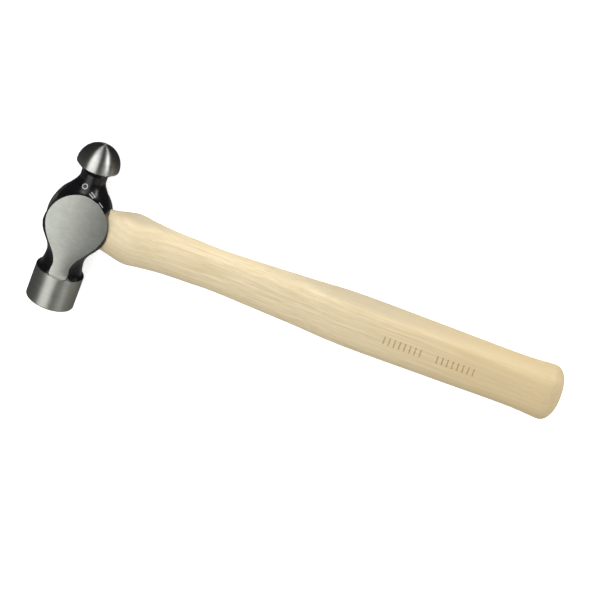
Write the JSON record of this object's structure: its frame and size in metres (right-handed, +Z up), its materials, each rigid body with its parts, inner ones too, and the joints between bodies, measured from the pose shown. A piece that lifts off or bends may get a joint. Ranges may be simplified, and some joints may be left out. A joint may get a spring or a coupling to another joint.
{
  "type": "ball peen hammer",
  "caption": "Ball peen hammer with a forged steel head, ground cheeks and a wedged hickory handle.",
  "frame": {"origin": "under the middle of the hammer's length and breadth, on the surface that it lies on", "axes": "+X along the handle from the head to the butt, +Y along the head's axis from the striking face to the ball, +Z up through the cheeks"},
  "size_m": [0.3398, 0.1126, 0.031],
  "materials": {
    "head_steel": "ground and turned bare steel, with gloss black paint between the poll and the ball",
    "hickory": "clear satin lacquer",
    "wedge_wood": "bare end grain",
    "wedge_steel": "ground flush, dull"
  },
  "bodies": {
    "root": {"head": "head_steel", "handle": "hickory", "wood_wedge": "wedge_wood", "steel_wedge_1": "wedge_steel", "steel_wedge_2": "wedge_steel"}
  },
  "joints": []
}
